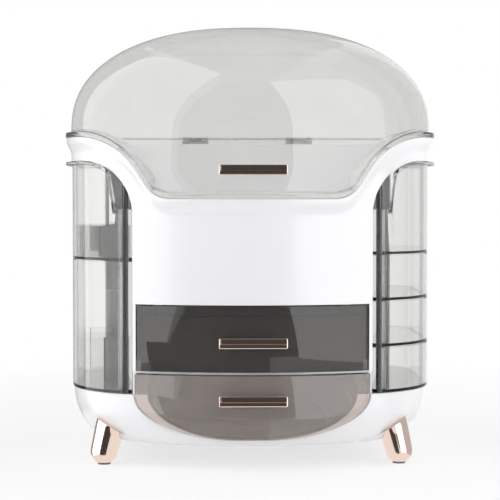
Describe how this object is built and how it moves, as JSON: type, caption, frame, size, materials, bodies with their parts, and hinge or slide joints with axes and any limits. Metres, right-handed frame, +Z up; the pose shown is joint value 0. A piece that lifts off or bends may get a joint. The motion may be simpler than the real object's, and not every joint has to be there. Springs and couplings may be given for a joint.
{
  "type": "cosmetics organiser",
  "caption": "Free-standing cosmetics organiser: white housing on splayed legs, hinged clear dome lid, clear drawers in front and clear bins that swing out of the sides.",
  "frame": {"origin": "middle of the whole object seen from above, on the surface it stands on", "axes": "+X to the right, +Y to the back, +Z up; the drawers face -Y"},
  "size_m": [0.299, 0.2242, 0.347],
  "materials": {
    "white_plastic": "glossy white moulded plastic",
    "clear_smoke": "polished clear plastic with a light grey tint",
    "drawer_smoke": "polished clear plastic with a brown-grey tint",
    "rose_gold": "polished rose-gold plating",
    "steel": "bright steel",
    "pad_rubber": "matt soft rubber"
  },
  "bodies": {
    "cabinet": {"base_tub": "white_plastic", "carcass": "white_plastic", "rear_cover": "white_plastic", "housing": "white_plastic", "leg_front_left": "rose_gold", "leg_front_right": "rose_gold", "leg_rear_left": "rose_gold", "leg_rear_right": "rose_gold", "foot_pads": "pad_rubber", "leg_screws": "steel", "housing_screws": "steel", "rear_cover_screws": "steel", "lid_hinge_pins": "steel", "pivot_rod_left": "steel", "pivot_rod_right": "steel"},
    "lid": {"lid": "clear_smoke", "lid_handle": "rose_gold", "lid_handle_screws": "steel"},
    "upper_drawer": {"upper_drawer": "drawer_smoke", "upper_drawer_handle": "rose_gold", "upper_drawer_screws": "steel"},
    "lower_drawer": {"lower_drawer": "drawer_smoke", "lower_drawer_handle": "rose_gold", "lower_drawer_screws": "steel"},
    "left_upper_bin": {"left_upper_bin": "clear_smoke", "left_upper_divider": "clear_smoke"},
    "left_lower_bin": {"left_lower_bin": "clear_smoke", "left_lower_divider": "clear_smoke"},
    "right_upper_bin": {"right_upper_bin": "clear_smoke"},
    "right_tray_top": {"right_tray_top": "clear_smoke"},
    "right_tray_middle": {"right_tray_middle": "clear_smoke"},
    "right_tray_bottom": {"right_tray_bottom": "clear_smoke"}
  },
  "joints": [
    {"name": "lid_hinge", "type": "hinge", "parent": "cabinet", "child": "lid", "pos_m": [0, 0.1085, 0.2589], "axis": [-1, 0, 0], "range_deg": [0, 95]},
    {"name": "upper_drawer_slide", "type": "slide", "parent": "cabinet", "child": "upper_drawer", "axis": [0, -1, 0], "range_m": [0, 0.14]},
    {"name": "lower_drawer_slide", "type": "slide", "parent": "cabinet", "child": "lower_drawer", "axis": [0, -1, 0], "range_m": [0, 0.14]},
    {"name": "left_upper_bin_swing", "type": "hinge", "parent": "cabinet", "child": "left_upper_bin", "pos_m": [-0.0983, -0.0778, 0.1], "axis": [0, 0, 1], "range_deg": [0, 90]},
    {"name": "left_lower_bin_swing", "type": "hinge", "parent": "cabinet", "child": "left_lower_bin", "pos_m": [-0.0983, -0.0778, 0.1], "axis": [0, 0, 1], "range_deg": [0, 90]},
    {"name": "right_upper_bin_swing", "type": "hinge", "parent": "cabinet", "child": "right_upper_bin", "pos_m": [0.0983, -0.0778, 0.1], "axis": [0, 0, -1], "range_deg": [0, 90]},
    {"name": "right_tray_top_swing", "type": "hinge", "parent": "cabinet", "child": "right_tray_top", "pos_m": [0.0983, -0.0778, 0.1], "axis": [0, 0, -1], "range_deg": [0, 90]},
    {"name": "right_tray_middle_swing", "type": "hinge", "parent": "cabinet", "child": "right_tray_middle", "pos_m": [0.0983, -0.0778, 0.1], "axis": [0, 0, -1], "range_deg": [0, 90]},
    {"name": "right_tray_bottom_swing", "type": "hinge", "parent": "cabinet", "child": "right_tray_bottom", "pos_m": [0.0983, -0.0778, 0.1], "axis": [0, 0, -1], "range_deg": [0, 90]}
  ]
}
